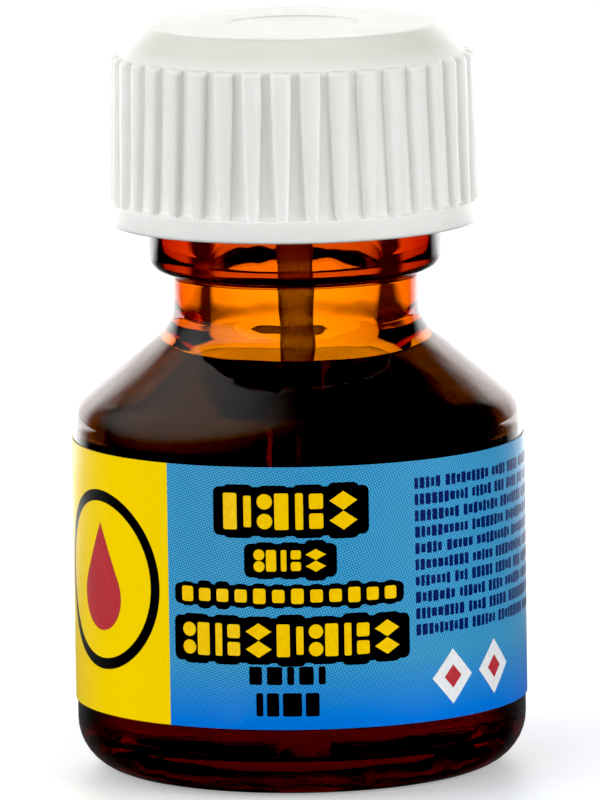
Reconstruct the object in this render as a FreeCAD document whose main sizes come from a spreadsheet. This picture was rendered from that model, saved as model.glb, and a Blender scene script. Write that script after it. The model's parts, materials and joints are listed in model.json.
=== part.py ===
# Small amber glass bottle of model glue with a paper label and a ribbed screw cap that carries a brush.
# Millimetres and degrees. The origin is the middle of the base, +Z is up, and the label faces -Y.
import FreeCAD, Part
import Sketcher
import os
import re

# Driving sizes: name, value, meaning.
DRIVING = [
    ("body_diameter", 30.0, "outside of the bottle's round body"),
    ("side_height", 24.45, "height where the straight side would meet the shoulder cone"),
    ("glass_wall", 2.0, "wall of the body and the shoulder"),
    ("glass_base", 2.5, "glass under the glue"),
    ("heel_radius", 3.4, "rounding of the bottom edge"),
    ("inner_heel_radius", 2.0, "rounding of the bottom edge inside"),
    ("standing_ring_width", 2.1, "flat ring that the bottle stands on"),
    ("push_up_height", 0.5, "hollow under the base, inside the standing ring"),
    ("push_up_slope", 0.8, "width of the hollow's sloping edge"),
    ("shoulder_slope", 39.0, "angle of the shoulder cone above the horizontal"),
    ("shoulder_radius", 2.5, "rounding between the side and the shoulder"),
    ("neck_radius", 8.3, "outside of the neck between the shoulder and the bead"),
    ("neck_length", 3.52, "from the shoulder cone to the bead"),
    ("neck_fillet", 2.4, "hollow rounding between the shoulder and the neck"),
    ("bore_radius", 5.8, "bore of the neck"),
    ("bore_fillet", 2.0, "rounding where the bore opens into the body"),
    ("bead_step", 1.9, "how far the bead stands out from the root of the thread"),
    ("bead_thickness", 3.9, "height of the bead under the cap"),
    ("bead_lower_radius", 1.2, "rounding of the bead's lower edge"),
    ("bead_upper_radius", 0.8, "rounding of the bead's upper edge"),
    ("finish_radius", 8.0, "root of the glass thread"),
    ("finish_height", 9.05, "from the bead's top to the rim"),
    ("rim_rounding", 0.6, "rounding of both edges of the rim"),
    ("thread_pitch", 3.0, "rise of the thread in one turn"),
    ("ridge_radius", 0.85, "radius of the round thread ridges, in glass and in plastic"),
    ("ridge_end_step", 0.03, "how much smaller the balls are that end the ridges"),
    ("thread_gap", 0.2, "room between the glass ridge and the cap's ridge"),
    ("thread_angle", 20.0, "angle from +X where the glass thread starts"),
    ("glass_thread_turns", 1.4, "length of the glass thread"),
    ("glass_thread_rise", 2.6, "from the bead's top to the start of the glass thread"),
    ("cap_thread_turns", 1.3, "length of the cap's thread"),
    ("cap_thread_lag", 0.45, "turns between the start of the glass thread and the cap's"),
    ("label_bottom", 4.8, "height of the label's lower edge"),
    ("label_margin", 1.0, "from the label's upper edge to the end of the straight side"),
    ("label_thickness", 0.13, "paper, print and varnish"),
    ("label_wrap", 354.0, "angle that the label goes round the body"),
    ("contact_gap", 0.02, "gap between pieces that rest against each other"),
    ("headspace", 1.95, "from the glue's surface to the bore"),
    ("brush_channel_gap", 0.3, "room between the glue's solid and the brush"),
    ("cap_clearance", 0.35, "between the glass thread's crest and the cap's wall"),
    ("cap_wall", 2.3, "from the cap's inner wall to the grooves, at the top"),
    ("cap_roof", 1.66, "thickness of the cap's top"),
    ("cap_overlap", 0.7, "how far the cap's lower edge reaches below the bead's top"),
    ("skirt_clearance", 0.4, "between the bead and the wider bore at the cap's lower edge"),
    ("skirt_step", 2.0, "height of that wider bore"),
    ("band_height", 1.5, "height of the smooth band at the cap's lower edge"),
    ("band_step", 0.41, "how far the band stands out from the grooves"),
    ("groove_draft", 0.35, "how much further out the grooves are at the band than at the top"),
    ("rib_count", 38, "grip ribs round the cap"),
    ("rib_phase", 0.94, "angle from +X of the first rib"),
    ("rib_root", 0.5, "how deep the ribs are rooted in the wall"),
    ("rib_step_low", 0.37, "how far the ribs stand out from the grooves, next to the band"),
    ("rib_step_high", 0.55, "how far the ribs stand out from the grooves, at the top"),
    ("rib_width_low", 0.6, "width of a rib, next to the band"),
    ("rib_width_high", 1.07, "width of a rib, at the top"),
    ("crown_height", 1.95, "height of the sloping edge above the ribs"),
    ("crown_width", 1.9, "width of that sloping edge"),
    ("dimple_radius", 4.5, "shallow round mark in the middle of the top"),
    ("dimple_depth", 0.08, "depth of that mark"),
    ("snap_depth", 0.25, "height of the ring that holds the brush in the cap"),
    ("snap_half_width", 0.22, "half the width of that ring"),
    ("seal_thickness", 0.98, "soft washer between the rim and the brush's disc"),
    ("seal_clearance", 0.35, "between the washer and the snap ring"),
    ("seal_hole_gap", 0.6, "between the washer's hole and the brush's cone"),
    ("disc_thickness", 0.8, "disc at the top of the brush"),
    ("disc_clearance", 0.12, "between that disc and the cap's wall"),
    ("stem_radius", 1.2, "thin part of the stem"),
    ("stem_cone_radius", 3.1, "top of the stem's cone"),
    ("stem_cone_length", 4.2, "height of the stem's cone"),
    ("socket_bore_radius", 1.05, "bore of the socket that holds the bristles"),
    ("socket_wall", 0.55, "wall of the socket"),
    ("socket_depth", 4.0, "depth of the socket's bore"),
    ("socket_length", 4.6, "length of the socket's thick part"),
    ("socket_taper", 0.9, "length of the cone between the stem and the socket"),
    ("tip_clearance", 2.4, "from the glass inside the base to the tips of the bristles"),
    ("bristle_length", 9.8, "bristles below the socket"),
    ("bristle_spread", 0.47, "how much wider the bristles are in the middle than in the socket"),
    ("bristle_tip_radius", 0.45, "flat end of the bristles"),
    ("wire_thickness", 0.25, "flat wire that the bristles are folded over"),
    ("wire_height", 1.0, "height of the wire"),
    ("wire_cover", 0.15, "plastic left outside each end of the wire"),
    ("wire_depth", 0.3, "from the bottom of the socket's bore to the wire"),
]

# Sizes worked out from the driving ones: name, formula, meaning.
DERIVED = [
    ("body_radius", "body_diameter / 2", "outside of the body"),
    ("inner_radius", "body_radius - glass_wall", "inside of the body"),
    ("push_up_radius", "body_radius - heel_radius - standing_ring_width", "inner edge of the standing ring"),
    ("side_top", "side_height - shoulder_radius * tan((90 - shoulder_slope) / 2)",
     "height where the straight side ends and the shoulder's rounding starts"),
    ("neck_corner", "side_height + (body_radius - neck_radius) * tan(shoulder_slope)",
     "height where the shoulder cone would meet the neck"),
    ("wall_drop", "glass_wall / cos(shoulder_slope)", "glass measured straight down through the shoulder"),
    ("inner_side_height", "side_height + glass_wall * tan(shoulder_slope) - wall_drop",
     "height where the inner side meets the inner cone"),
    ("bore_bottom", "side_height + (body_radius - bore_radius) * tan(shoulder_slope) - wall_drop",
     "height where the bore meets the inner cone"),
    ("bead_radius", "finish_radius + bead_step", "outside of the bead"),
    ("bead_bottom", "neck_corner + neck_length", "underside of the bead"),
    ("bead_top", "bead_bottom + bead_thickness", "top of the bead"),
    ("rim_height", "bead_top + finish_height", "height of the rim"),
    ("rim_radius", "min(rim_rounding; 0.45 * (finish_radius - bore_radius))",
     "rounding of the rim, as far as its wall allows"),
    ("glass_thread_start", "bead_top + glass_thread_rise", "height of the glass thread's start"),
    ("cap_thread_start", "glass_thread_start + (cap_thread_lag - 0.5) * thread_pitch",
     "height of the cap thread's start, half a pitch below the glass thread"),
    ("cap_thread_angle", "thread_angle + 360 * cap_thread_lag", "angle where the cap's thread starts"),
    ("ridge_reach", "(2 * ridge_radius + thread_gap) ^ 2 - (thread_pitch / 2) ^ 2",
     "square of the distance between the two walls that keeps the ridges apart"),
    ("cap_inner_radius", "finish_radius + max(ridge_radius + cap_clearance; sqrt(max(0; ridge_reach)))",
     "inner wall of the cap"),
    ("skirt_radius", "max(bead_radius + skirt_clearance; cap_inner_radius)",
     "wider bore at the cap's lower edge"),
    ("skirt_chamfer", "skirt_radius - cap_inner_radius", "step between the two bores"),
    ("label_top", "side_top - label_margin", "height of the label's upper edge"),
    ("label_inner_radius", "body_radius + contact_gap", "back of the label"),
    ("label_radius", "label_inner_radius + label_thickness", "front of the label"),
    ("glue_level", "bore_bottom - headspace", "height of the glue's surface"),
    ("glue_radius", "inner_radius - contact_gap", "outside of the glue"),
    ("glue_bottom", "glass_base + contact_gap", "underside of the glue"),
    ("glue_side_height", "inner_side_height - contact_gap", "height where the glue starts to narrow"),
    ("glue_top_radius", "glue_radius - (glue_level - glue_side_height) / tan(shoulder_slope)",
     "edge of the glue's surface"),
    ("seal_bottom", "rim_height + contact_gap", "underside of the washer"),
    ("seal_top", "seal_bottom + seal_thickness", "top of the washer"),
    ("disc_bottom", "seal_top + contact_gap", "underside of the brush's disc"),
    ("disc_top", "disc_bottom + disc_thickness", "top of the brush's disc"),
    ("disc_radius", "cap_inner_radius - disc_clearance", "outside of the brush's disc"),
    ("snap_height", "seal_top - snap_half_width", "middle of the ring under the disc"),
    ("snap_radius", "cap_inner_radius - snap_depth", "inside of that ring"),
    ("seal_radius", "snap_radius - seal_clearance", "outside of the washer"),
    ("seal_hole_radius", "stem_cone_radius + seal_hole_gap", "hole of the washer"),
    ("ceiling_height", "disc_top + contact_gap", "inside of the cap's top"),
    ("cap_top", "ceiling_height + cap_roof", "top of the cap"),
    ("dimple_floor", "cap_top - dimple_depth", "bottom of the round mark"),
    ("cap_bottom", "bead_top - cap_overlap", "lower edge of the cap"),
    ("band_top", "cap_bottom + band_height", "top of the smooth band"),
    ("skirt_top", "cap_bottom + skirt_step", "top of the wider bore"),
    ("rib_top", "cap_top - crown_height", "top of the ribs"),
    ("groove_radius_high", "cap_inner_radius + cap_wall", "bottom of the grooves, at the top"),
    ("groove_radius_low", "groove_radius_high + groove_draft", "bottom of the grooves, next to the band"),
    ("cap_radius", "groove_radius_low + band_step", "outside of the band"),
    ("crown_radius", "groove_radius_high - crown_width", "flat top of the cap"),
    ("bristle_tip", "glass_base + tip_clearance", "height of the tips of the bristles"),
    ("belly_height", "bristle_tip + bristle_length / 2", "height of the widest part of the bristles"),
    ("socket_end", "bristle_tip + bristle_length", "height of the socket's mouth"),
    ("socket_radius", "socket_bore_radius + socket_wall", "outside of the socket"),
    ("socket_bore_top", "socket_end + socket_depth", "bottom of the socket's bore"),
    ("socket_shoulder", "socket_end + socket_length", "height where the socket starts to narrow"),
    ("stem_foot", "socket_shoulder + socket_taper", "lower end of the stem's thin part"),
    ("stem_cone_bottom", "disc_bottom - stem_cone_length", "lower end of the stem's cone"),
    ("tuft_radius", "socket_bore_radius - contact_gap", "bristles inside the socket"),
    ("tuft_top", "socket_bore_top - contact_gap", "top of the folded bristles"),
    ("belly_radius", "tuft_radius + bristle_spread", "widest part of the bristles"),
    ("channel_radius", "max(socket_radius; belly_radius) + brush_channel_gap",
     "channel round the brush"),
    ("channel_bottom", "bristle_tip - brush_channel_gap", "bottom of that channel"),
    ("wire_width", "2 * (socket_radius - wire_cover)", "length of the wire across the socket"),
    ("wire_bottom", "socket_bore_top - wire_depth - wire_height", "underside of the wire"),
]

doc = FreeCAD.newDocument("glue_bottle")
sheet = doc.addObject("Spreadsheet::Sheet", "Sizes")


def fill_sheet():
    """Write the driving sizes as plain numbers and the derived ones as formulas."""
    rows = [(name, str(value), note) for name, value, note in DRIVING]
    rows += [(name, "=" + formula, note) for name, formula, note in DERIVED]
    for number, (name, content, note) in enumerate(rows, start=1):
        sheet.set(f"A{number}", name)
        sheet.set(f"B{number}", content)
        sheet.set(f"C{number}", note)
        sheet.setAlias(f"B{number}", name)
    doc.recompute()


def on_sheet(formula):
    """The same formula with each name looked up in the sheet; functions keep their names."""
    return re.sub(r"\b[a-z][a-z_]*\b(?!\()", r"Sizes.\g<0>", formula)


def size(formula):
    """The present value of a formula of sheet names."""
    return float(sheet.evalExpression(on_sheet(formula)))


def bind(feature, **formulas):
    """Bind properties of a feature to formulas of sheet names."""
    for prop, formula in formulas.items():
        feature.setExpression(prop, on_sheet(formula))


def place(feature, x="0", y="0", z="0"):
    """Bind the position of a feature to formulas of sheet names."""
    for axis, formula in (("x", x), ("y", y), ("z", z)):
        feature.setExpression(f"Placement.Base.{axis}", on_sheet(formula))


def new_body(name):
    body = doc.addObject("PartDesign::Body", name)
    body.Label = name
    return body


def origin_part(body, role):
    return next(item for item in body.Origin.OriginFeatures if item.Role == role)


def new_sketch(body, name, plane):
    sketch = body.newObject("Sketcher::SketchObject", name)
    sketch.AttachmentSupport = [(origin_part(body, plane), "")]
    sketch.MapMode = "FlatFace"
    return sketch


def pin(sketch, direction, axis, point, formula):
    """Hold a point of a sketch at a bound distance from the sketch's own axis."""
    if formula == "0":
        sketch.addConstraint(Sketcher.Constraint("PointOnObject", *point, axis))
        return
    distance = Sketcher.Constraint(direction, -1, 1, *point, size(formula))
    index = sketch.addConstraint(distance)
    sketch.setExpression(f"Constraints[{index}]", on_sheet(formula))


def outline(body, name, corners):
    """A closed outline of straight lines; each corner is a distance from the axis and a height."""
    sketch = new_sketch(body, name, "XZ_Plane")
    points = [FreeCAD.Vector(size(r), size(z), 0) for r, z in corners]
    for start, end in zip(points, points[1:] + points[:1]):
        sketch.addGeometry(Part.LineSegment(start, end), False)
    count = len(corners)
    for line in range(count):
        sketch.addConstraint(Sketcher.Constraint("Coincident", line, 2, (line + 1) % count, 1))
    for line, (r, z) in enumerate(corners):
        pin(sketch, "DistanceX", -2, (line, 1), r)
        pin(sketch, "DistanceY", -1, (line, 1), z)
    return sketch


def turned(body, name, corners, angle="360", middle=False):
    """A body of revolution about Z from an outline of corners."""
    sketch = outline(body, name + "_outline", corners)
    solid = body.newObject("PartDesign::Revolution", name)
    solid.Profile = sketch
    solid.ReferenceAxis = (sketch, ["V_Axis"])
    solid.Midplane = middle
    bind(solid, Angle=angle)
    doc.recompute()
    return solid


def rounded(body, name, base, radius, corners):
    """Round the rings at the given distances from the axis and heights."""
    wanted = [(size(r), size(z)) for r, z in corners]
    names = []
    for number, edge in enumerate(base.Shape.Edges, start=1):
        if isinstance(edge.Curve, Part.Circle) and edge.isClosed():
            ring = (edge.Curve.Radius, edge.Curve.Center.z)
            if any(abs(ring[0] - r) < 1e-4 and abs(ring[1] - z) < 1e-4 for r, z in wanted):
                names.append(f"Edge{number}")
    if len(names) != len(wanted):
        raise RuntimeError(f"{name}: found {len(names)} of {len(wanted)} rings")
    fillet = body.newObject("PartDesign::Fillet", name)
    fillet.Base = (base, names)
    bind(fillet, Radius=radius)
    doc.recompute()
    return fillet


def thread(body, name, radius, start, turns, angle):
    """A round ridge wound up a wall from a start height and angle, with a ball at each end."""
    sketch = new_sketch(body, name + "_section", "XZ_Plane")
    centre = FreeCAD.Vector(size(radius), size(start), 0)
    sketch.addGeometry(Part.Circle(centre, FreeCAD.Vector(0, 0, 1), size("ridge_radius")), False)
    pin(sketch, "DistanceX", -2, (0, 3), radius)
    pin(sketch, "DistanceY", -1, (0, 3), start)
    index = sketch.addConstraint(Sketcher.Constraint("Radius", 0, size("ridge_radius")))
    sketch.setExpression(f"Constraints[{index}]", on_sheet("ridge_radius"))
    sketch.AttachmentOffset.Rotation.Axis = FreeCAD.Vector(0, 1, 0)
    sketch.setExpression("AttachmentOffset.Rotation.Angle", on_sheet(angle))
    doc.recompute()
    ridge = body.newObject("PartDesign::AdditiveHelix", name)
    ridge.Profile = sketch
    ridge.ReferenceAxis = (sketch, ["V_Axis"])
    ridge.Mode = "pitch-turns-angle"
    ridge.LeftHanded = False
    bind(ridge, Pitch="thread_pitch", Turns=turns)
    doc.recompute()
    ends = [
        ("start", angle, start),
        ("end", f"{angle} + 360 * {turns}", f"{start} + {turns} * thread_pitch"),
    ]
    for end, turn, height in ends:
        ball = body.newObject("PartDesign::AdditiveSphere", f"{name}_{end}")
        bind(ball, Radius="ridge_radius - ridge_end_step")
        place(ball, f"{radius} * cos({turn})", f"{radius} * sin({turn})", height)
        doc.recompute()
    return ball


def make_bottle_glass():
    body = new_body("bottle_glass")
    glass = turned(body, "blown_glass", [
        ("0", "push_up_height"),
        ("push_up_radius - push_up_slope", "push_up_height"),
        ("push_up_radius", "0"),
        ("body_radius", "0"),
        ("body_radius", "side_height"),
        ("neck_radius", "neck_corner"),
        ("neck_radius", "bead_bottom"),
        ("bead_radius", "bead_bottom"),
        ("bead_radius", "bead_top"),
        ("finish_radius", "bead_top"),
        ("finish_radius", "rim_height"),
        ("bore_radius", "rim_height"),
        ("bore_radius", "bore_bottom"),
        ("inner_radius", "inner_side_height"),
        ("inner_radius", "glass_base"),
        ("0", "glass_base"),
    ])
    glass = rounded(body, "heel", glass, "heel_radius", [("body_radius", "0")])
    glass = rounded(body, "inner_heel", glass, "inner_heel_radius", [("inner_radius", "glass_base")])
    glass = rounded(body, "shoulder", glass, "shoulder_radius", [("body_radius", "side_height")])
    glass = rounded(body, "neck_foot", glass, "neck_fillet", [("neck_radius", "neck_corner")])
    glass = rounded(body, "bore_mouth", glass, "bore_fillet", [("bore_radius", "bore_bottom")])
    glass = rounded(body, "bead_under", glass, "bead_lower_radius", [("bead_radius", "bead_bottom")])
    glass = rounded(body, "bead_over", glass, "bead_upper_radius", [("bead_radius", "bead_top")])
    rounded(body, "rim", glass, "rim_radius",
            [("finish_radius", "rim_height"), ("bore_radius", "rim_height")])
    thread(body, "glass_thread", "finish_radius", "glass_thread_start", "glass_thread_turns", "thread_angle")
    return body


def make_label():
    """One strip of paper round the body; its ends meet behind, with a narrow gap."""
    body = new_body("label")
    turned(body, "paper", [
        ("label_inner_radius", "label_bottom"),
        ("label_radius", "label_bottom"),
        ("label_radius", "label_top"),
        ("label_inner_radius", "label_top"),
    ], angle="label_wrap", middle=True)
    body.Placement.Rotation = FreeCAD.Rotation(FreeCAD.Vector(0, 0, 1), -90)
    return body


def make_glue():
    """The liquid, with a channel kept free so that the brush can be drawn out of the solid."""
    body = new_body("glue")
    liquid = turned(body, "liquid", [
        ("0", "glue_bottom"),
        ("glue_radius", "glue_bottom"),
        ("glue_radius", "glue_side_height"),
        ("glue_top_radius", "glue_level"),
        ("channel_radius", "glue_level"),
        ("channel_radius", "channel_bottom"),
        ("0", "channel_bottom"),
    ])
    rounded(body, "liquid_heel", liquid, "inner_heel_radius", [("glue_radius", "glue_bottom")])
    return body


def make_cap_shell():
    body = new_body("cap_shell")
    turned(body, "moulding", [
        ("skirt_radius", "cap_bottom"),
        ("cap_radius", "cap_bottom"),
        ("cap_radius", "band_top"),
        ("groove_radius_low", "band_top"),
        ("groove_radius_high", "rib_top"),
        ("crown_radius", "cap_top"),
        ("dimple_radius", "cap_top"),
        ("dimple_radius", "dimple_floor"),
        ("0", "dimple_floor"),
        ("0", "ceiling_height"),
        ("cap_inner_radius", "ceiling_height"),
        ("cap_inner_radius", "snap_height + snap_half_width"),
        ("snap_radius", "snap_height"),
        ("cap_inner_radius", "snap_height - snap_half_width"),
        ("cap_inner_radius", "skirt_top"),
        ("skirt_radius", "skirt_top - skirt_chamfer"),
    ])
    thread(body, "cap_thread", "cap_inner_radius", "cap_thread_start", "cap_thread_turns",
           "cap_thread_angle")
    rib = body.newObject("PartDesign::AdditiveWedge", "rib")
    bind(rib, Xmin="-rib_width_low / 2", Xmax="rib_width_low / 2",
         X2min="-rib_width_high / 2", X2max="rib_width_high / 2",
         Ymin="0", Ymax="rib_top - band_top",
         Zmin="groove_radius_high - rib_root", Zmax="groove_radius_low + rib_step_low",
         Z2min="groove_radius_high - rib_root", Z2max="groove_radius_high + rib_step_high")
    upright = FreeCAD.Rotation(FreeCAD.Vector(1, 1, 1), 120)
    rib.Placement.Rotation = FreeCAD.Rotation(FreeCAD.Vector(0, 0, 1), size("rib_phase")) * upright
    place(rib, z="band_top")
    doc.recompute()
    ribs = body.newObject("PartDesign::PolarPattern", "ribs")
    ribs.Originals = [rib]
    ribs.Axis = (origin_part(body, "Z_Axis"), [""])
    ribs.Angle = 360
    bind(ribs, Occurrences="rib_count")
    body.Tip = ribs
    doc.recompute()
    return body


def make_seal_washer():
    body = new_body("seal_washer")
    turned(body, "washer", [
        ("seal_hole_radius", "seal_bottom"),
        ("seal_radius", "seal_bottom"),
        ("seal_radius", "seal_top"),
        ("seal_hole_radius", "seal_top"),
    ])
    return body


def shape_as_wire(box):
    """Give a box the size and place of the flat wire across the socket."""
    bind(box, Length="wire_thickness", Width="wire_width", Height="wire_height")
    place(box, "-wire_thickness / 2", "-wire_width / 2", "wire_bottom")
    doc.recompute()


def make_brush_stem():
    """Disc, cone, thin stem and socket in one moulding."""
    body = new_body("brush_stem")
    turned(body, "stem", [
        ("0", "disc_top"),
        ("0", "socket_bore_top"),
        ("socket_bore_radius", "socket_bore_top"),
        ("socket_bore_radius", "socket_end"),
        ("socket_radius", "socket_end"),
        ("socket_radius", "socket_shoulder"),
        ("stem_radius", "stem_foot"),
        ("stem_radius", "stem_cone_bottom"),
        ("stem_cone_radius", "disc_bottom"),
        ("disc_radius", "disc_bottom"),
        ("disc_radius", "disc_top"),
    ])
    shape_as_wire(body.newObject("PartDesign::SubtractiveBox", "stem_slot"))
    return body


def make_bristle_anchor():
    """The flat wire across the socket."""
    wire = doc.addObject("Part::Box", "bristle_anchor")
    wire.Label = "bristle_anchor"
    shape_as_wire(wire)
    return wire


def make_bristle_tuft():
    """All the bristles as one solid: folded over the wire, held by the socket, full in the middle."""
    body = new_body("bristle_tuft")
    turned(body, "tuft", [
        ("0", "tuft_top"),
        ("0", "bristle_tip"),
        ("bristle_tip_radius", "bristle_tip"),
        ("belly_radius", "belly_height"),
        ("tuft_radius", "socket_end"),
        ("tuft_radius", "tuft_top"),
    ])
    shape_as_wire(body.newObject("PartDesign::SubtractiveBox", "tuft_slot"))
    return body


def check(item):
    """Stop if an object has failed, since a failed recompute raises nothing by itself."""
    if "Invalid" in item.State or "Error" in item.State:
        raise RuntimeError(f"{item.Name} failed: {item.State}")


def write_steps(pieces):
    """Check every object and every piece, then write one file for each piece."""
    doc.recompute()
    for item in doc.Objects:
        check(item)
    for piece in pieces:
        if piece.Shape.isNull() or not piece.Shape.isValid() or len(piece.Shape.Solids) != 1:
            raise RuntimeError(f"{piece.Label} isn't one valid solid")
    os.makedirs("parts", exist_ok=True)
    for piece in pieces:
        piece.Shape.exportStep(f"parts/{piece.Label}.step")
        print(piece.Label, round(piece.Shape.Volume, 2), "mm3")


fill_sheet()
write_steps([
    make_bottle_glass(),
    make_label(),
    make_glue(),
    make_cap_shell(),
    make_seal_washer(),
    make_brush_stem(),
    make_bristle_anchor(),
    make_bristle_tuft(),
])
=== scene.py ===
# Looks of a small amber glue bottle: glass, liquid, printed label, ribbed screw cap, seal and brush.
# Sizes are in millimetres while the shapes are worked out, and the meshes are made in metres.
import json
import math
import random

import bmesh
import bpy
from mathutils import Matrix, Vector

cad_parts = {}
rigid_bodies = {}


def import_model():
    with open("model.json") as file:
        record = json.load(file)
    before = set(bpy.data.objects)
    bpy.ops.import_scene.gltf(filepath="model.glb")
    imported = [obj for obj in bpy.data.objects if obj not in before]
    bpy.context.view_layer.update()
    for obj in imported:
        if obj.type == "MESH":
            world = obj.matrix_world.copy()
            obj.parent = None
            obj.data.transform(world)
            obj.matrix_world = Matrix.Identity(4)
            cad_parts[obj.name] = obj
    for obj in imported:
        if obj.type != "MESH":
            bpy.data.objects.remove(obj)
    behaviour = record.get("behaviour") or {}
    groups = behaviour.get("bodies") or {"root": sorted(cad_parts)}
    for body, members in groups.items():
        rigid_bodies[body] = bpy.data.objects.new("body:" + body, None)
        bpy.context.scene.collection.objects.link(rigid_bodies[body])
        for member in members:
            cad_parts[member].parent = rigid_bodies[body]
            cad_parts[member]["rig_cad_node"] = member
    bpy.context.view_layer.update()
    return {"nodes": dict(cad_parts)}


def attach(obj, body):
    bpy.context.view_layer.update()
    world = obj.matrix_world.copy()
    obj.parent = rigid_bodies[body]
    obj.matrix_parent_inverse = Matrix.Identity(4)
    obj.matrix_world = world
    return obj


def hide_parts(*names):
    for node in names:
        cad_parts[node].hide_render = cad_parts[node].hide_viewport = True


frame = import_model()

MM = 0.001
FULL_TURN = 2 * math.pi

# ---------------------------------------------------------------- sizes shared by several pieces
body_radius = 15.0
neck_radius = 8.3
bead_radius = 9.9
finish_radius = 8.0
bore_radius = 5.8
inner_radius = 13.0
inner_floor = 2.5
outer_corner_height, inner_corner_height = 24.45, 23.5
outer_neck_height, inner_neck_height = 29.88, 29.33
bead_bottom, bead_top = 33.40, 37.30
rim_height = 46.35
glue_level = 27.38
glue_overlap = 0.015

label_bottom, label_top = 4.80, 22.26
label_half_wrap = 177.0
paper_inner, paper_outer = 15.02, 15.10
ink_step = 0.012

cap_bottom, band_top, rib_top, crown_top = 36.60, 38.10, 47.90, 49.85
band_radius = 12.26
cap_inner_radius = 9.2
skirt_radius = 10.3
cap_ceiling = 48.19
rib_count = 38
first_rib_angle = math.radians(0.94)
rib_ring_radius = 12.0          # where the widths of the ribs are measured
rib_foot_radius, rib_taper = 12.22, 0.17
gap_foot_radius, gap_taper = 11.72, 0.22
rib_narrow, rib_wide = 0.40, 0.66
crown_foot_radius, crown_top_radius = 11.5, 9.62
mark_radius, mark_edge, mark_depth = 4.5, 0.2, 0.08

thread_pitch, thread_ridge = 3.0, 0.85


# ---------------------------------------------------------------- mesh helpers
def new_object(name, points, faces, smooth_below=40):
    """A mesh object from points in millimetres, with normals outwards and edges smooth below an angle."""
    mesh = bpy.data.meshes.new(name)
    mesh.from_pydata([(x * MM, y * MM, z * MM) for x, y, z in points], [], faces)
    work = bmesh.new()
    work.from_mesh(mesh)
    bmesh.ops.recalc_face_normals(work, faces=work.faces)
    work.to_mesh(mesh)
    work.free()
    mesh.shade_smooth()
    mesh.set_sharp_from_angle(angle=math.radians(smooth_below))
    piece = bpy.data.objects.new(name, mesh)
    bpy.context.scene.collection.objects.link(piece)
    return piece


def rounded(corners, step=math.radians(9)):
    """Points along a chain of (radius, height, rounding) corners, with an arc at each rounded one."""
    points = []
    for i, (r, z, rounding) in enumerate(corners):
        if rounding == 0:
            points.append((r, z))
            continue
        here = Vector((r, z))
        before = (Vector(corners[i - 1][:2]) - here).normalized()
        after = (Vector(corners[i + 1][:2]) - here).normalized()
        half = before.angle(after) / 2
        centre = here + (before + after).normalized() * rounding / math.sin(half)
        start = here + before * rounding / math.tan(half) - centre
        end = here + after * rounding / math.tan(half) - centre
        from_angle = math.atan2(start.y, start.x)
        turn = math.atan2(end.y, end.x) - from_angle
        turn = (turn + math.pi) % FULL_TURN - math.pi
        count = max(2, math.ceil(abs(turn) / step))
        for k in range(count + 1):
            a = from_angle + turn * k / count
            points.append((centre.x + rounding * math.cos(a), centre.y + rounding * math.sin(a)))
    return points


def finer(path, low, high, step):
    """The same path with extra points on its runs between two heights."""
    made = [path[0]]
    for (r0, z0), (r1, z1) in zip(path, path[1:]):
        inside = min(z0, z1) < high and max(z0, z1) > low
        count = max(1, math.ceil(math.hypot(r1 - r0, z1 - z0) / step)) if inside else 1
        for k in range(1, count + 1):
            made.append((r0 + (r1 - r0) * k / count, z0 + (z1 - z0) * k / count))
    return made


def grid_faces(rings, count):
    """Faces between neighbouring rings of point numbers, where a ring of one number is a pole."""
    faces = []
    for below, above in zip(rings, rings[1:]):
        for i in range(count):
            j = (i + 1) % count
            if len(below) == 1:
                faces.append((below[0], above[j], above[i]))
            elif len(above) == 1:
                faces.append((below[i], below[j], above[0]))
            else:
                faces.append((below[i], below[j], above[j], above[i]))
    return faces


def spun(name, path, count, change=None):
    """A closed turned shape along a path from axis to axis; change(k, r, z, angle) gives the new radius."""
    points, rings = [], []
    for k, (r, z) in enumerate(path):
        if r < 1e-6:
            rings.append([len(points)])
            points.append((0.0, 0.0, z))
            continue
        rings.append(list(range(len(points), len(points) + count)))
        for i in range(count):
            a = FULL_TURN * i / count
            radius = change(k, r, z, a) if change else r
            points.append((radius * math.cos(a), radius * math.sin(a), z))
    return new_object(name, points, grid_faces(rings, count))


def thread_height(z, angle, start_angle, start_height, turns):
    """How far a round thread ridge stands out at a height and angle, with ends that fade away."""
    end_fade = 0.05
    best = 0.0
    travel = ((angle - start_angle) % FULL_TURN) / FULL_TURN
    while travel < turns:
        aside = abs(z - start_height - thread_pitch * travel)
        if aside < thread_ridge:
            fade = min(1.0, travel / end_fade, (turns - travel) / end_fade)
            best = max(best, math.sqrt(thread_ridge * thread_ridge - aside * aside) * fade)
        travel += 1.0
    return best


# ---------------------------------------------------------------- bottle glass
def inside_wave(angle, z):
    """The blown inside is uneven where the shoulder runs into the neck."""
    lobes = 0.5 * math.sin(5 * angle + 0.6) + 0.3 * math.sin(8 * angle + 2.1)
    lobes += 0.2 * math.sin(13 * angle + 4.0)
    depth, middle, spread_height = 0.10, 27.5, 3.5
    return depth * lobes * math.exp(-((z - middle) / spread_height) ** 2)


outside_path = rounded([
    (0, 0.5, 0), (8.7, 0.5, 0.8), (9.5, 0.0, 0.6), (body_radius, 0.0, 3.4),
    (body_radius, outer_corner_height, 2.5), (neck_radius, outer_neck_height, 2.4),
    (neck_radius, bead_bottom, 0.45), (bead_radius, bead_bottom, 1.2), (bead_radius, bead_top, 0.8),
    (finish_radius, bead_top, 0.4), (finish_radius, rim_height, 0.6), (bore_radius, rim_height, 0),
])[:-1]
outside_path = finer(outside_path, 37.9, 45.6, 0.16)
inside_path = rounded([
    (finish_radius, rim_height, 0), (bore_radius, rim_height, 0.6), (bore_radius, inner_neck_height, 2.0),
    (inner_radius, inner_corner_height, 2.2), (inner_radius, inner_floor, 2.0), (0, inner_floor, 0),
])[1:]
inside_path = finer(inside_path, 22.5, 33.0, 0.4)


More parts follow.
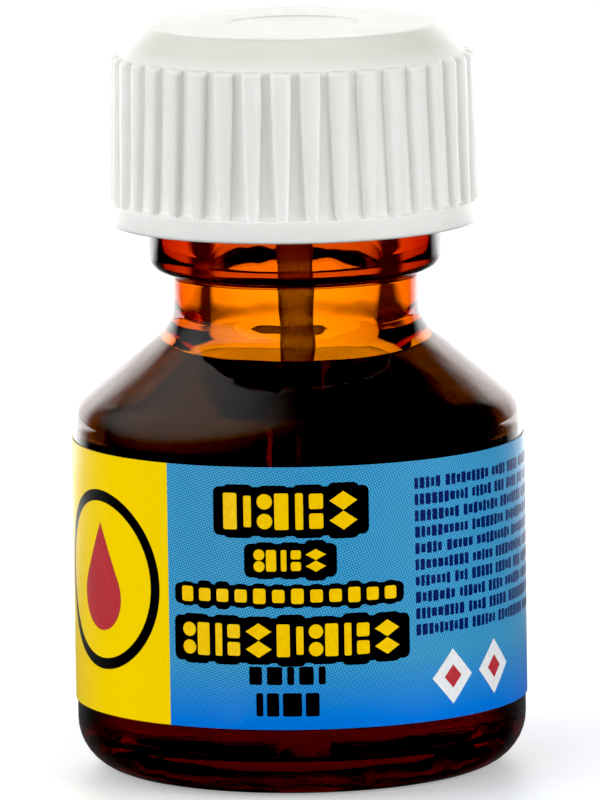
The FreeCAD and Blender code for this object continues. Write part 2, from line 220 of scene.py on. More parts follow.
def glass_change(k, r, z, angle):
    """Waves on the inside, and the thread ridge on the finish."""
    if k >= len(outside_path):
        return r + inside_wave(angle, z)
    if abs(r - finish_radius) < 0.01 and z > bead_top:
        return r + thread_height(z, angle, math.radians(20), 39.9, 1.4)
    return r


bottle = spun("amber_bottle", outside_path + inside_path, 256, glass_change)

# ---------------------------------------------------------------- glue
meniscus, meniscus_reach = 0.30, 0.7
climb_level = glue_level + meniscus
wet_wall = rounded([
    (0, inner_floor - glue_overlap, 0), (inner_radius + glue_overlap, inner_floor - glue_overlap, 2.0),
    (inner_radius + glue_overlap, inner_corner_height, 2.2),
    (bore_radius + glue_overlap, inner_neck_height, 2.0), (bore_radius + glue_overlap, bead_bottom, 0),
])
glue_path = [point for point in finer(wet_wall, 22.5, bead_bottom, 0.15) if point[1] < climb_level]
climb_radius = glue_path[-1][0]
for share in (0.985, 0.965, 0.94, 0.90, 0.84, 0.74, 0.58, 0.36, 0.16, 0.0):
    depth = (1 - share) * climb_radius
    glue_path.append((climb_radius * share, glue_level + meniscus * math.exp(-depth / meniscus_reach)))


def glue_change(k, r, z, angle):
    """The glue follows the waves of the glass, less and less towards the axis."""
    return r + inside_wave(angle, z) * min(1.0, r / 8.0) ** 3


glue = spun("glue_liquid", glue_path, 256, glue_change)


# ---------------------------------------------------------------- label and its print
# A place on the label is (along, up): along is the arc length to the right of the middle of the front.
print_radius = 15.15


def on_label(along, up, radius):
    """The point at a place on the label, at a radius from the bottle's axis."""
    a = along / print_radius
    return (radius * math.sin(a), -radius * math.cos(a), up)


def slab(points, faces, columns, inner, outer):
    """Adds a thin curved slab to the lists, from columns of (along, low, high)."""
    first = len(points)
    for along, low, high in columns:
        points.append(on_label(along, low, inner))
        points.append(on_label(along, high, inner))
        points.append(on_label(along, high, outer))
        points.append(on_label(along, low, outer))
    for k in range(len(columns) - 1):
        a, b = first + 4 * k, first + 4 * k + 4
        for side in range(4):
            n = (side + 1) % 4
            faces.append((a + side, a + n, b + n, b + side))
    faces.append((first, first + 1, first + 2, first + 3))
    last = first + 4 * (len(columns) - 1)
    faces.append((last, last + 1, last + 2, last + 3))


def ink(name, shapes, layer, depth=0.006):
    """One object for all the shapes of a colour; a higher layer lies on top of a lower one."""
    points, faces = [], []
    outer = paper_outer + ink_step * layer
    for columns in shapes:
        slab(points, faces, columns, outer - depth, outer)
    return new_object(name, points, faces, 30)


def spread(start, end, step=0.25):
    """Evenly spaced numbers from start to end, no further apart than a step."""
    count = max(1, math.ceil((end - start) / step))
    return [start + (end - start) * k / count for k in range(count + 1)]


def bar(along, up, width, height, corner=0.0):
    """A rounded block with its middle at (along, up)."""
    left, right = along - width / 2, along + width / 2
    places = spread(left + corner, right - corner)
    if corner > 0:
        steps = [corner * (1 - math.cos(math.pi / 2 * k / 4)) for k in range(4)]
        places = [left + s for s in steps] + places + [right - s for s in reversed(steps)]
    columns = []
    for place in places:
        edge = corner - min(place - left, right - place)
        inset = corner - math.sqrt(max(0.0, corner * corner - edge * edge)) if edge > 0 else 0.0
        columns.append((place, up - height / 2 + inset, up + height / 2 - inset))
    return columns


def disc(along, up, radius, steps=40):
    """A round spot with its middle at (along, up)."""
    columns = []
    for k in range(steps + 1):
        a = math.pi * k / steps
        half = max(0.01, radius * math.sin(a))
        columns.append((along - radius * math.cos(a), up - half, up + half))
    return columns


def diamond(along, up, half_width, half_height):
    """A lozenge with its middle at (along, up)."""
    columns = []
    for place in spread(-half_width, half_width, half_width / 6):
        half = max(0.01, half_height * (1 - abs(place) / half_width))
        columns.append((along + place, up - half, up + half))
    return columns


def drop(along, up, radius, reach, steps=28):
    """A drop of glue: a round foot with its middle at (along, up) and a point above it."""
    lean = math.asin(radius / reach)
    columns = []
    for k in range(steps + 1):
        a = math.pi * k / steps
        place = -radius * math.cos(a)
        low = up - radius * math.sin(a)
        if abs(place) < radius * math.cos(lean):
            high = up + reach - abs(place) / math.tan(lean)
        else:
            high = up + radius * math.sin(a)
        columns.append((along + place, low, max(high, low + 0.02)))
    return columns


def word(along, up, height, widths, gap):
    """A row of plain blocks, centred at (along, up), in place of a printed word."""
    total = sum(widths) + gap * (len(widths) - 1)
    left = along - total / 2
    blocks = []
    for width in widths:
        blocks.append((left + width / 2, up, width, height))
        left += width + gap
    return blocks


def small_rows(rng, start, end, top, rows, pitch, height):
    """Rows of tiny blocks grouped like words, in place of small print."""
    shapes = []
    for row in range(rows):
        place = start
        up = top - pitch * row
        while place < end - 1.0:
            for _ in range(rng.randint(3, 10)):
                width = rng.uniform(0.26, 0.42)
                if place + width > end:
                    break
                tall = height * rng.choice((0.78, 1.0, 1.0))
                shapes.append(bar(place + width / 2, up, width, tall, 0.06))
                place += width + 0.13
            place += 0.34
    return shapes


def panel(start_degrees, end_degrees, low, high):
    """A plain field of the label between two angles and two heights."""
    start = math.radians(start_degrees) * print_radius
    end = math.radians(end_degrees) * print_radius
    return [(place, low, high) for place in spread(start, end)]


paper_points, paper_faces = [], []
whole_label = panel(-label_half_wrap, label_half_wrap, label_bottom, label_top)
slab(paper_points, paper_faces, whole_label, paper_inner, paper_outer)
label_paper = new_object("label_paper", paper_points, paper_faces, 30)

# the yellow panel runs from far to edge, and the blue one from there round to the seam, in degrees
panel_edge, panel_far, panel_end = -35.0, -97.0, 176.0
panel_low, panel_high = label_bottom - 0.004, label_top + 0.004
panel_depth = 0.07
yellow_panel = ink("print_yellow_panel", [
    panel(panel_far, panel_edge, panel_low, panel_high),
], 1, panel_depth)
blue_panel = ink("print_blue_panel", [
    panel(panel_edge, panel_end, panel_low, panel_high),
    panel(-panel_end, panel_far, panel_low, panel_high),
], 1, panel_depth)

# words of the front: yellow shapes on dark plates, in place of the printed title
# each row: along, up, width, height, number of shapes
title_rows = [
    (-0.56, 19.33, 10.45, 3.55, 4),
    (-0.62, 16.07, 6.15, 2.55, 3),
    (-0.82, 13.70, 15.80, 1.70, 12),
    (-0.65, 10.75, 16.25, 3.30, 7),
]
rng = random.Random(7)
plates, title_shapes = [], []


def title_shape(kind, middle, up, cell, tall):
    """One plain cluster of shapes that stands where a printed letter stood; returns a list of shapes."""
    left, right = middle - cell * 0.24, middle + cell * 0.24
    wide, slim = cell * 0.40, cell * 0.22
    low, high = up - tall * 0.27, up + tall * 0.27
    if kind == "bars":
        return [bar(left, up, wide, tall, 0.12), bar(right + 0.06, up, slim, tall * 0.86, 0.10)]
    if kind == "diamonds":
        return [diamond(middle, height, cell * 0.40, tall * 0.26) for height in (low, high)]
    if kind == "blocks":
        return [bar(left - 0.04, up, slim, tall, 0.10), bar(right - 0.04, low, wide, tall * 0.42, 0.14),
                bar(right - 0.04, high, wide, tall * 0.42, 0.14)]
    return [disc(left, low, cell * 0.22), disc(left, high, cell * 0.22), bar(right, up, wide, tall, 0.12)]


kinds = ("bars", "diamonds", "blocks", "disc")
for along, up, width, height, count in title_rows:
    tall_row = height > 2
    border = 0.56 if tall_row else 0.34
    cell = (width - 2 * border) / count
    left = along - width / 2 + border
    tall = height - 2 * border
    plates.append(bar(along, up, width, height - 0.30, 0.42))
    for k in range(count):
        middle = left + cell * (k + 0.5)
        plates.append(bar(middle, up, cell * 0.9, height + rng.choice((-0.1, 0.0, 0.16)), 0.40))
        if not tall_row:
            title_shapes.append(bar(middle, up, cell * 0.66, tall * rng.choice((0.85, 1.0)), 0.16))
        else:
            title_shapes += title_shape(kinds[(k * 3 + count) % 4], middle, up, cell, tall)
title_plates = ink("print_title_plates", plates, 2)
title_face = ink("print_title", title_shapes, 3)

# plain dark bars, in place of the two lines under the title
dark_words = word(-0.94, 8.40, 1.20, [0.85, 1.00, 0.45, 0.95, 0.45], 0.34)
dark_words += word(-0.93, 6.47, 1.55, [0.45, 0.80, 1.25, 0.90], 0.26)
dark_shapes = [bar(a, u, w, h, 0.12) for a, u, w, h in dark_words]
dark_bars = ink("print_dark_bars", dark_shapes, 2)

# small print round the right side and the back
small_shapes = small_rows(rng, 8.0, 26.5, 20.75, 10, 1.085, 0.74)
small_shapes += small_rows(rng, 29.0, 43.0, 20.75, 12, 1.085, 0.74)
small_print = ink("print_small_rows", small_shapes, 2)

# two plain diamonds at the foot of the small print: along, up, half width, half height
mark_places = [(10.95, 7.60, 1.75, 1.85), (15.20, 7.70, 1.75, 1.85)]
mark_core = 0.42
white_marks = ink("print_marks_white", [diamond(*place) for place in mark_places], 3)
red_marks = ink("print_marks_red", [
    diamond(a, u, w * mark_core, h * mark_core) for a, u, w, h in mark_places
], 4)

# a round emblem with a drop of glue, in the yellow panel
emblem_along = math.radians(-60.5) * print_radius
emblem_up = 13.8
ring_radius, ring_width = 6.0, 0.75
emblem_ring = ink("print_emblem_ring", [disc(emblem_along, emblem_up, ring_radius)], 2)
emblem_field = ink("print_emblem_field", [
    disc(emblem_along, emblem_up, ring_radius - ring_width)
], 3)
emblem_drop = ink("print_emblem_drop", [drop(emblem_along, emblem_up - 1.05, 2.35, 4.9)], 4)


# ---------------------------------------------------------------- cap
# One rib runs through these places: share of its half width, and share of its height there.
rib_places = [(-1.22, 0.0), (-1.05, 0.06), (-0.95, 0.45), (-0.80, 0.80), (-0.50, 0.96), (0.0, 1.0),
              (0.50, 0.96), (0.80, 0.80), (0.95, 0.45), (1.05, 0.06), (1.22, 0.0)]
gap_places = (0.33, 0.67)
rib_root_half_width, rib_end_height = 0.36, 0.55


def cap_columns(half_width):
    """Angles round the cap with the share of rib height at each, for ribs of one half width."""
    pitch = FULL_TURN / rib_count
    made = []
    for rib in range(rib_count):
        middle = first_rib_angle + rib * pitch
        spoke = half_width / rib_ring_radius
        for place, share in rib_places:
            made.append((middle + place * spoke, share))
        gap_start = middle + rib_places[-1][0] * spoke
        gap_end = middle + pitch + rib_places[0][0] * spoke
        for place in gap_places:
            made.append((gap_start + (gap_end - gap_start) * place, 0.0))
    return made


def cap_rows():
    """Rows up the outside of the cap: height, radius between ribs, radius on a rib, half width of a rib."""
    rows = []
    band = rounded([
        (skirt_radius, cap_bottom, 0), (band_radius, cap_bottom, 0.22), (band_radius, band_top, 0.10),
        (gap_foot_radius, band_top, 0.28), (gap_foot_radius - 0.02, band_top + 2.1, 0),
    ])[1:-1]
    for r, z in band:
        on_rib = max(r, rib_foot_radius) if z > band_top - 0.02 else r
        rows.append((z, r, on_rib, rib_root_half_width))
    foot = rows[-1][0]
    for share in (0.02, 0.06, 0.12, 0.2, 0.3, 0.4, 0.5, 0.6, 0.7, 0.8, 0.88, 0.94, 0.965):
        z = foot + (rib_top - foot) * share
        half_width = rib_narrow + (rib_wide - rib_narrow) * min(1.0, share * 1.25)
        between, on_rib = gap_foot_radius - gap_taper * share, rib_foot_radius - rib_taper * share
        rows.append((z, between, on_rib, half_width))
    for share, left in ((0.975, 0.98), (0.984, 0.90), (0.992, 0.70), (0.998, 0.40), (1.0, 0.05)):
        z = foot + (rib_top - foot) * share
        rows.append((z, crown_foot_radius, crown_foot_radius + rib_end_height * left, rib_wide))
    crown = rounded([
        (crown_foot_radius, rib_top - 1.0, 0), (crown_foot_radius, rib_top + 0.05, 0.35),
        (crown_top_radius, crown_top, 0.55), (mark_radius, crown_top, 0.3),
        (mark_radius - mark_edge, crown_top - mark_depth, 0.3), (0, crown_top - mark_depth, 0),
    ])[1:]
    for r, z in crown:
        if z > rib_top + 0.01:
            rows.append((z, r, r, rib_wide))
    return rows


def cap_inside_path():
    """The inside from the middle of the ceiling, past the snap ring and the thread, to the cap's edge."""
    ceiling = rounded([
        (0, cap_ceiling, 0), (cap_inner_radius, cap_ceiling, 0.25), (cap_inner_radius, 47.45, 0.10),
        (8.95, 47.13, 0.15), (cap_inner_radius, 46.8, 0.10), (cap_inner_radius, 38.6, 0.2),
        (skirt_radius, 37.5, 0.3), (skirt_radius, cap_bottom, 0.15), (band_radius, cap_bottom, 0),
    ])[:-1]
    return finer(ceiling, 38.9, 44.6, 0.18)


def cap_thread(z, angle):
    """How far the cap's own thread ridge stands inwards."""
    return thread_height(z, angle, math.radians(182), 39.75, 1.3)


cap_points, cap_rings = [], []
for z, between, on_rib, half_width in cap_rows():
    if between < 1e-6:
        cap_rings.append([len(cap_points)])
        cap_points.append((0.0, 0.0, z))
        continue
    columns = cap_columns(half_width)
    cap_rings.append(list(range(len(cap_points), len(cap_points) + len(columns))))
    for angle, share in columns:
        radius = between + (on_rib - between) * share
        cap_points.append((radius * math.cos(angle), radius * math.sin(angle), z))
outside_faces = grid_faces(cap_rings, len(columns))
first_ring = cap_rings[0]
inside_rings = []
for r, z in cap_inside_path():
    if r < 1e-6:
        inside_rings.append([len(cap_points)])
        cap_points.append((0.0, 0.0, z))
        continue
    inside_rings.append(list(range(len(cap_points), len(cap_points) + len(columns))))
    for angle, _ in cap_columns(rib_root_half_width):
        on_bore = abs(r - cap_inner_radius) < 0.01 and z < 46.0
        radius = r - (cap_thread(z, angle % FULL_TURN) if on_bore else 0.0)
        cap_points.append((radius * math.cos(angle), radius * math.sin(angle), z))
inside_faces = grid_faces(inside_rings + [first_ring], len(columns))
cap = new_object("cap_moulding", cap_points, outside_faces + inside_faces, 45)


# ---------------------------------------------------------------- bristles
bristle_count = 140
bristle_tip = 4.9
filament_radii = (0.045, 0.06)


def bristle(points, faces, rng):
    """One nylon filament from the socket, out over the belly and in to the tip."""
    sides = 6
    thick = rng.uniform(*filament_radii)
    share = math.sqrt(rng.random())
    angle = rng.uniform(0, FULL_TURN)
    tip = bristle_tip + rng.uniform(0.0, 1.1) + 0.7 * share
    sway = rng.uniform(-0.25, 0.25)
    # height, and reach from the axis of a filament on the outside of the tuft
    stations = [
        (18.2, 0.85), (14.7, 0.92), (12.6, 1.18), (9.8, 1.42), (7.6, 1.16), (6.2, 0.82), (tip, 0.48),
    ]
    first = len(points)
    for k, (z, reach) in enumerate(stations):
        a = angle + sway * k / len(stations)
        x, y = reach * share * math.cos(a), reach * share * math.sin(a)
        for side in range(sides):
            b = FULL_TURN * side / sides
            points.append((x + thick * math.cos(b), y + thick * math.sin(b), z))
    for k in range(len(stations) - 1):
        for side in range(sides):
            n = (side + 1) % sides
            a, b = first + k * sides, first + (k + 1) * sides
            faces.append((a + side, a + n, b + n, b + side))
    faces.append(tuple(first + side for side in range(sides)))
    faces.append(tuple(first + (len(stations) - 1) * sides + side for side in range(sides)))


bristle_points, bristle_faces = [], []
rng = random.Random(21)
for _ in range(bristle_count):
    bristle(bristle_points, bristle_faces, rng)
bristles = new_object("brush_bristles", bristle_points, bristle_faces, 50)


# ---------------------------------------------------------------- materials
class Look:
    """A node material that is built up a node at a time."""

    def __init__(self, name):
        self.material = bpy.data.materials.new(name)
        self.material.use_nodes = True
        self.tree = self.material.node_tree
        self.tree.nodes.clear()
        self.output = self.tree.nodes.new("ShaderNodeOutputMaterial")
        self.shader = self.add("ShaderNodeBsdfPrincipled")
        self.link(self.shader.outputs[0], self.output.inputs["Surface"])
        self.place = self.add("ShaderNodeTexCoord").outputs["Object"]

    def add(self, kind, **settings):
        made = self.tree.nodes.new(kind)
        for name, value in settings.items():
            setattr(made, name, value)
        return made

    def link(self, start, end):
        self.tree.links.new(start, end)

    def set(self, **values):
        for name, value in values.items():
            self.shader.inputs[name.replace("_", " ")].default_value = value

    def noise(self, scale, detail=3.0, rough=0.5, stretch=None):
        """A noise whose scale is in cells per metre."""
        made = self.add("ShaderNodeTexNoise")
        made.inputs["Scale"].default_value = scale
        made.inputs["Detail"].default_value = detail
        made.inputs["Roughness"].default_value = rough
        place = self.place
        if stretch:
            mapping = self.add("ShaderNodeMapping")
            mapping.inputs["Scale"].default_value = stretch
            self.link(place, mapping.inputs["Vector"])
            place = mapping.outputs[0]
        self.link(place, made.inputs["Vector"])
        return made.outputs["Fac"]

    def math(self, kind, a, b=0.0, c=0.0):
        made = self.add("ShaderNodeMath", operation=kind)
        for socket, value in zip(made.inputs, (a, b, c)):
            if isinstance(value, (int, float)):
                socket.default_value = value
            else:
                self.link(value, socket)
        return made.outputs[0]

    def ramp(self, factor, low, high, start=0.0, end=1.0):
        """A change from start to end as the factor goes from low to high."""
        made = self.add("ShaderNodeMapRange")
        made.inputs["From Min"].default_value = low
        made.inputs["From Max"].default_value = high
        made.inputs["To Min"].default_value = start
        made.inputs["To Max"].default_value = end
        self.link(factor, made.inputs["Value"])
        return made.outputs[0]

    def mix(self, factor, first, second):
        made = self.add("ShaderNodeMix", data_type="RGBA")
        sockets = [s for s in made.inputs if s.type == "RGBA"]
        self.link(factor, made.inputs["Factor"])
        for socket, value in zip(sockets, (first, second)):
            if isinstance(value, tuple):
                socket.default_value = (*value, 1.0)
            else:
                self.link(value, socket)
        return [s for s in made.outputs if s.type == "RGBA"][0]

    def bump(self, height, strength, distance):
        made = self.add("ShaderNodeBump")
        made.inputs["Strength"].default_value = strength
        made.inputs["Distance"].default_value = distance
        self.link(height, made.inputs["Height"])
        self.link(made.outputs[0], self.shader.inputs["Normal"])

    def colour(self, value):
        self.link(value, self.shader.inputs["Base Color"])

    def roughness(self, factor, low, high):
        self.link(self.ramp(factor, 0.3, 0.7, low, high), self.shader.inputs["Roughness"])


def linear(red, green, blue):
    """A shown colour of 0 to 255 as the light value that the shader takes."""
    shares = []
    for value in (red, green, blue):
        c = value / 255
        shares.append(c / 12.92 if c <= 0.04045 else ((c + 0.055) / 1.055) ** 2.4)
    return tuple(shares)


def absorb(look, colour, density):
    """Colour taken from the light on its way through, with the density per metre."""
    made = look.add("ShaderNodeVolumeAbsorption")
    made.inputs["Color"].default_value = (*colour, 1.0)
    made.inputs["Density"].default_value = density
    look.link(made.outputs[0], look.output.inputs["Volume"])


def glass_look():
    """Amber glass with soft waves from blowing and faint wear."""
    look = Look("amber_glass")
    look.set(Base_Color=(1, 1, 1, 1), Transmission_Weight=1.0, IOR=1.52)
    waves = look.noise(260, 2.0, 0.4)
    look.bump(waves, 0.22, 0.0004)
    look.roughness(look.noise(700, 3.0), 0.0, 0.025)
    absorb(look, (0.895, 0.655, 0.02), 1150)
    return look.material


def liquid_look():
    """Thin brownish glue."""
    look = Look("clear_glue")
    look.set(Base_Color=(1, 1, 1, 1), Transmission_Weight=1.0, IOR=1.40)
    look.roughness(look.noise(400, 2.0), 0.0, 0.02)
    look.bump(look.noise(180, 2.0), 0.1, 0.0002)
    absorb(look, (0.60, 0.36, 0.14), 260)
    return look.material


def plastic_look(name, first, second, shine, grain, through=0.0, relief=0.00012):
    """Moulded plastic: cloudy colour, uneven gloss, and a faint orange-peel skin of a relief in metres."""
    look = Look(name)
    look.set(IOR=1.49, Subsurface_Weight=through, Subsurface_Scale=0.0008)
    look.set(Subsurface_Radius=(1.0, 0.95, 0.85))
    clouds = look.ramp(look.noise(180, 4.0), 0.35, 0.65)
    look.colour(look.mix(clouds, first, second))
    look.roughness(look.noise(900, 3.0), shine - 0.05, shine + 0.07)
    look.bump(look.noise(grain, 3.0, 0.6), 0.18, relief)
    return look


def cap_look():
    """White plastic, greyer and greener on the crown."""
    white, shaded = linear(240, 241, 238), linear(236, 237, 233)
    look = plastic_look("white_polypropylene", white, shaded, 0.36, 4200, 0.35)
    height = look.add("ShaderNodeSeparateXYZ")
    look.link(look.place, height.inputs[0])
    towards_crown = look.ramp(height.outputs["Z"], (rib_top - 0.7) * MM, (rib_top + 0.9) * MM)
    tint = look.mix(look.ramp(look.noise(120, 2.0), 0.3, 0.7), linear(228, 230, 222), linear(219, 222, 211))
    body = look.shader.inputs["Base Color"].links[0].from_socket
    look.colour(look.mix(towards_crown, body, tint))
    return look.material


def paper_look(name, colour, second, shine=0.32):
    """Varnished paper or print with faint fibres."""
    look = Look(name)
    look.set(IOR=1.45, Coat_Weight=0.30, Coat_Roughness=0.34)
    fibres = look.noise(2600, 4.0, 0.6)
    look.colour(look.mix(look.ramp(fibres, 0.3, 0.7), colour, second))
    look.roughness(look.noise(500, 3.0), shine - 0.04, shine + 0.08)
    look.bump(look.noise(1800, 3.0), 0.10, 0.00008)
    return look.material


def halftone_look():
    """Blue print made of small dots over a lighter blue, deeper towards the foot of the label."""
    look = Look("halftone_blue")
    look.set(IOR=1.45, Coat_Weight=0.30, Coat_Roughness=0.34)
    parts = look.add("ShaderNodeSeparateXYZ")
    look.link(look.place, parts.inputs[0])
    angle = look.math("ARCTAN2", parts.outputs["X"], look.math("MULTIPLY", parts.outputs["Y"], -1.0))
    along = look.math("MULTIPLY", angle, print_radius * MM)
    up = parts.outputs["Z"]
    dot_pitch = 0.00017
    dots_per_metre = FULL_TURN / dot_pitch
    screen = math.radians(22)
    across, over = math.cos(screen), math.sin(screen)
    rise = look.math("ADD", look.math("MULTIPLY", along, across), look.math("MULTIPLY", up, over))
    fall = look.math("SUBTRACT", look.math("MULTIPLY", up, across), look.math("MULTIPLY", along, over))
    first = look.math("SINE", look.math("MULTIPLY", rise, dots_per_metre))
    second = look.math("SINE", look.math("MULTIPLY", fall, dots_per_metre))
    dots = look.ramp(look.math("ADD", first, second), -0.2, 1.5)
    deep = look.ramp(up, 0.0050, 0.0092, 1.0, 0.0)
    upper = look.mix(dots, linear(20, 128, 190), linear(112, 198, 226))
    lower = look.mix(dots, linear(0, 112, 224), linear(10, 132, 228))
    look.colour(look.mix(deep, upper, lower))
    look.roughness(look.noise(500, 3.0), 0.28, 0.38)
    look.bump(look.noise(1800, 3.0), 0.10, 0.00008)
    return look.material


def wire_look():
    """Drawn metal wire, streaked along its length."""
    look = Look("anchor_wire")
    look.set(Metallic=1.0)
    streaks = look.noise(900, 4.0, 0.6, (1.0, 1.0, 6.0))
    look.colour(look.mix(streaks, linear(188, 170, 120), linear(150, 132, 92)))
    look.roughness(streaks, 0.22, 0.40)
    look.bump(streaks, 0.2, 0.00005)
    return look.material


amber = glass_look()
clear = liquid_look()
white_cap = cap_look()
milky, cloudy = linear(226, 226, 219), linear(214, 214, 206)
frosted_look = plastic_look("natural_polypropylene", milky, cloudy, 0.30, 900, relief=0.00002)
frosted_look.set(Transmission_Weight=0.55, IOR=1.36)
frosted = frosted_look.material
foam = plastic_look("seal_foam", linear(240, 240, 238), linear(228, 228, 226), 0.55, 9000, 0.2).material
nylon = plastic_look("nylon_bristle", linear(206, 196, 168), linear(182, 170, 140), 0.30, 6000, 0.3).material
wire = wire_look()
paper = paper_look("label_paper", linear(244, 244, 242), linear(236, 236, 232))
# painted shade: the label's glued side gets a dark brown in place of the shade it lies in behind the glass
painted_shade_label_back = paper_look("label_back_painted_shade", linear(52, 44, 36), linear(40, 34, 28), 0.45)
yellow = paper_look("yellow_print", linear(255, 220, 0), linear(252, 214, 0))
title_yellow = paper_look("title_yellow_print", linear(255, 214, 24), linear(248, 196, 8))
black = paper_look("black_print", linear(8, 7, 8), linear(16, 14, 15))
navy = paper_look("navy_print", linear(16, 26, 88), linear(26, 38, 104))
red = paper_look("red_print", linear(196, 60, 66), linear(178, 52, 60))
white_ink = paper_look("white_print", linear(244, 246, 248), linear(232, 236, 240))
halftone = halftone_look()


def dress(piece, look, body, node=None):
    """Gives a piece its material, the body that it rides on and the CAD node that it replaces."""
    piece.data.materials.clear()
    piece.data.materials.append(look)
    if "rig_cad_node" not in piece:
        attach(piece, body)
    if node:
        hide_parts(node)


dress(bottle, amber, "bottle", "bottle_glass")
dress(glue, clear, "bottle", "glue")
dress(label_paper, paper, "bottle", "label")
# the glued side of the label is painted dark brown as painted shade, for how dim it is when seen through the
# glass
label_paper.data.materials.append(painted_shade_label_back)
for face in label_paper.data.polygons:
    if math.hypot(*face.center.xy) < (paper_inner + 0.01) * MM:
        face.material_index = 1
prints = [
    (yellow_panel, yellow), (blue_panel, halftone),
    (title_plates, black), (title_face, title_yellow),
    (dark_bars, black), (small_print, navy), (white_marks, white_ink), (red_marks, red),
    (emblem_ring, black), (emblem_field, yellow), (emblem_drop, red),
]
for piece, look in prints:
    dress(piece, look, "bottle")
dress(cap, white_cap, "cap", "cap_shell")
dress(bristles, nylon, "cap", "bristle_tuft")
dress(frame["nodes"]["brush_stem"], frosted, "cap")
dress(frame["nodes"]["bristle_anchor"], wire, "cap")
dress(frame["nodes"]["seal_washer"], foam, "seal")

# ---------------------------------------------------------------- floor, light and camera
def floor_material():
    """Pale to the camera; to the rest, dark near the bottle and bright further back, as a lit backdrop is."""
    look = Look("pale_floor")
    look.set(Roughness=0.5, Emission_Color=(1, 1, 1, 1), Emission_Strength=0.30)
    look.colour(look.mix(look.noise(40, 3.0), (0.80, 0.80, 0.82), (0.84, 0.84, 0.86)))
    dim = look.add("ShaderNodeBsdfDiffuse")
    dim.inputs["Color"].default_value = (0.12, 0.12, 0.12, 1.0)
    glow = look.add("ShaderNodeEmission")
    parts = look.add("ShaderNodeSeparateXYZ")
    look.link(look.place, parts.inputs[0])
    aside = look.math("ABSOLUTE", parts.outputs["X"])
    inwards = look.math("MULTIPLY_ADD", aside, -0.7, parts.outputs["Y"])
    look.link(look.ramp(inwards, 0.03, 0.10, 0.02, 2.7), glow.inputs["Strength"])
    unseen = look.add("ShaderNodeAddShader")
    look.link(dim.outputs[0], unseen.inputs[0])
    look.link(glow.outputs[0], unseen.inputs[1])
    rays = look.add("ShaderNodeLightPath")
    choice = look.add("ShaderNodeMixShader")
    look.link(rays.outputs["Is Camera Ray"], choice.inputs[0])
    look.link(unseen.outputs[0], choice.inputs[1])
    look.link(look.shader.outputs[0], choice.inputs[2])
    look.link(choice.outputs[0], look.output.inputs["Surface"])
    return look.material


floor_reach = 6.0
floor_mesh = bpy.data.meshes.new("floor")
floor_mesh.from_pydata([
    (-floor_reach, -floor_reach, 0), (floor_reach, -floor_reach, 0),
    (floor_reach, floor_reach, 0), (-floor_reach, floor_reach, 0),
], [], [(0, 1, 2, 3)])
floor = bpy.data.objects.new("floor", floor_mesh)
bpy.context.scene.collection.objects.link(floor)
floor_mesh.materials.append(floor_material())


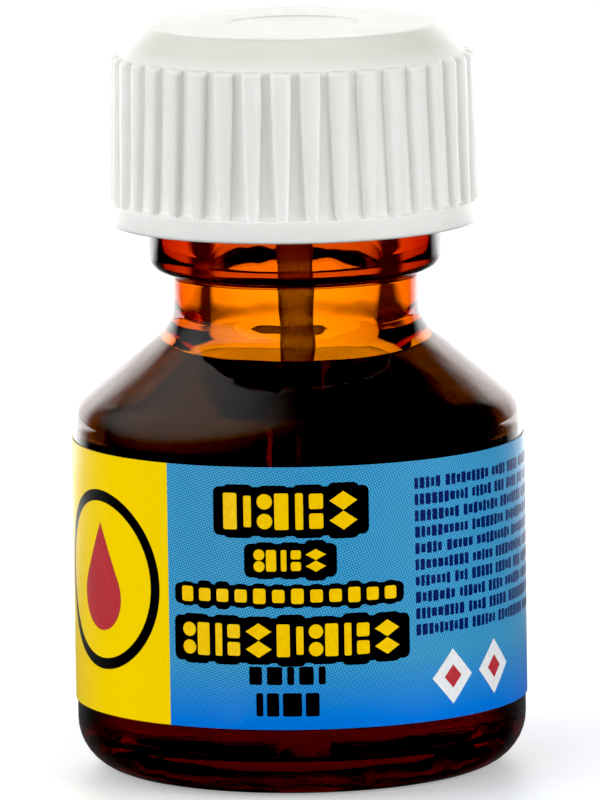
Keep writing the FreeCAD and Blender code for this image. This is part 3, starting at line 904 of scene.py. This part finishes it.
def sky():
    """White to the camera; to the rest, dim in front, bright behind, with a soft window up on the left."""
    world = bpy.data.worlds.new("studio")
    bpy.context.scene.world = world
    world.use_nodes = True
    tree = world.node_tree
    tree.nodes.clear()
    output = tree.nodes.new("ShaderNodeOutputWorld")
    plain = tree.nodes.new("ShaderNodeBackground")
    plain.inputs["Strength"].default_value = 1.05
    studio = tree.nodes.new("ShaderNodeBackground")
    rays = tree.nodes.new("ShaderNodeLightPath")
    choose = tree.nodes.new("ShaderNodeMixShader")
    tree.links.new(rays.outputs["Is Camera Ray"], choose.inputs[0])
    tree.links.new(studio.outputs[0], choose.inputs[1])
    tree.links.new(plain.outputs[0], choose.inputs[2])
    tree.links.new(choose.outputs[0], output.inputs["Surface"])
    place = tree.nodes.new("ShaderNodeTexCoord")
    parts = tree.nodes.new("ShaderNodeSeparateXYZ")
    tree.links.new(place.outputs["Generated"], parts.inputs[0])

    def soft_step(value, low, high):
        made = tree.nodes.new("ShaderNodeMapRange")
        made.interpolation_type = "SMOOTHSTEP"
        made.inputs["From Min"].default_value = low
        made.inputs["From Max"].default_value = high
        tree.links.new(value, made.inputs["Value"])
        return made.outputs[0]

    def blend(kind, first, second):
        made = tree.nodes.new("ShaderNodeMath")
        made.operation = kind
        for socket, value in zip(made.inputs, (first, second)):
            if isinstance(value, float):
                socket.default_value = value
            else:
                tree.links.new(value, socket)
        return made.outputs[0]

    behind = blend("MULTIPLY", soft_step(parts.outputs["Y"], 0.66, 0.88), 2.60)
    up_left = blend("MULTIPLY", blend("SUBTRACT", parts.outputs["Z"], parts.outputs["X"]), 0.7)
    window = blend("MULTIPLY", soft_step(up_left, 0.62, 0.95), 0.95)
    brighter = blend("MAXIMUM", behind, window)
    fill = 0.14
    tree.links.new(blend("ADD", brighter, fill), studio.inputs["Strength"])


sky()


def softbox(name, place, width, height, power):
    """A large soft lamp that points at the bottle and isn't seen itself, nor in the glass."""
    light = bpy.data.lights.new(name, "AREA")
    light.shape = "RECTANGLE"
    light.size = width
    light.size_y = height
    light.energy = power
    lamp = bpy.data.objects.new(name, light)
    lamp.location = place
    lamp.rotation_euler = (lamp_target - Vector(place)).to_track_quat("-Z", "Y").to_euler()
    lamp.visible_camera = False
    lamp.visible_glossy = False
    lamp.visible_transmission = False
    bpy.context.scene.collection.objects.link(lamp)


lamp_target = Vector((0, 0, 0.03))
# name, place, width and height in metres, power in watts
lamps = [
    ("softbox_top", (-0.25, -0.80, 0.60), 1.4, 0.9, 0.5),
    ("softbox_front", (-0.60, -1.05, 0.22), 0.7, 0.5, 6.4),
    ("softbox_left", (-0.95, -0.20, 0.25), 0.6, 0.7, 4.5),
    ("softbox_right", (0.90, -0.45, 0.20), 0.7, 0.8, 12.0),
]
for lamp_values in lamps:
    softbox(*lamp_values)

camera_distance = 0.800
camera_elevation = math.radians(8.35)
camera_roll = math.radians(-0.88)
look_at = Vector((0.000177, 0.0, 0.0245))
camera_data = bpy.data.cameras.new("camera")
camera_data.lens = 539.28
camera_data.sensor_width = 36.0
camera_data.clip_start = 0.05
camera_data.clip_end = 50.0
camera = bpy.data.objects.new("camera", camera_data)
bpy.context.scene.collection.objects.link(camera)
backwards = Vector((0, -math.cos(camera_elevation), math.sin(camera_elevation)))
turn = (-backwards).to_track_quat("-Z", "Y").to_matrix().to_4x4()
camera.matrix_world = (Matrix.Translation(look_at + backwards * camera_distance) @ turn
                       @ Matrix.Rotation(camera_roll, 4, "Z"))
bpy.context.scene.camera = camera

# a small black level keeps the dark glass deep
view = bpy.context.scene.view_settings
view.view_transform = "Standard"
view.use_curve_mapping = True
black_level = 0.014
view.curve_mapping.black_level = (black_level, black_level, black_level)
view.curve_mapping.update()
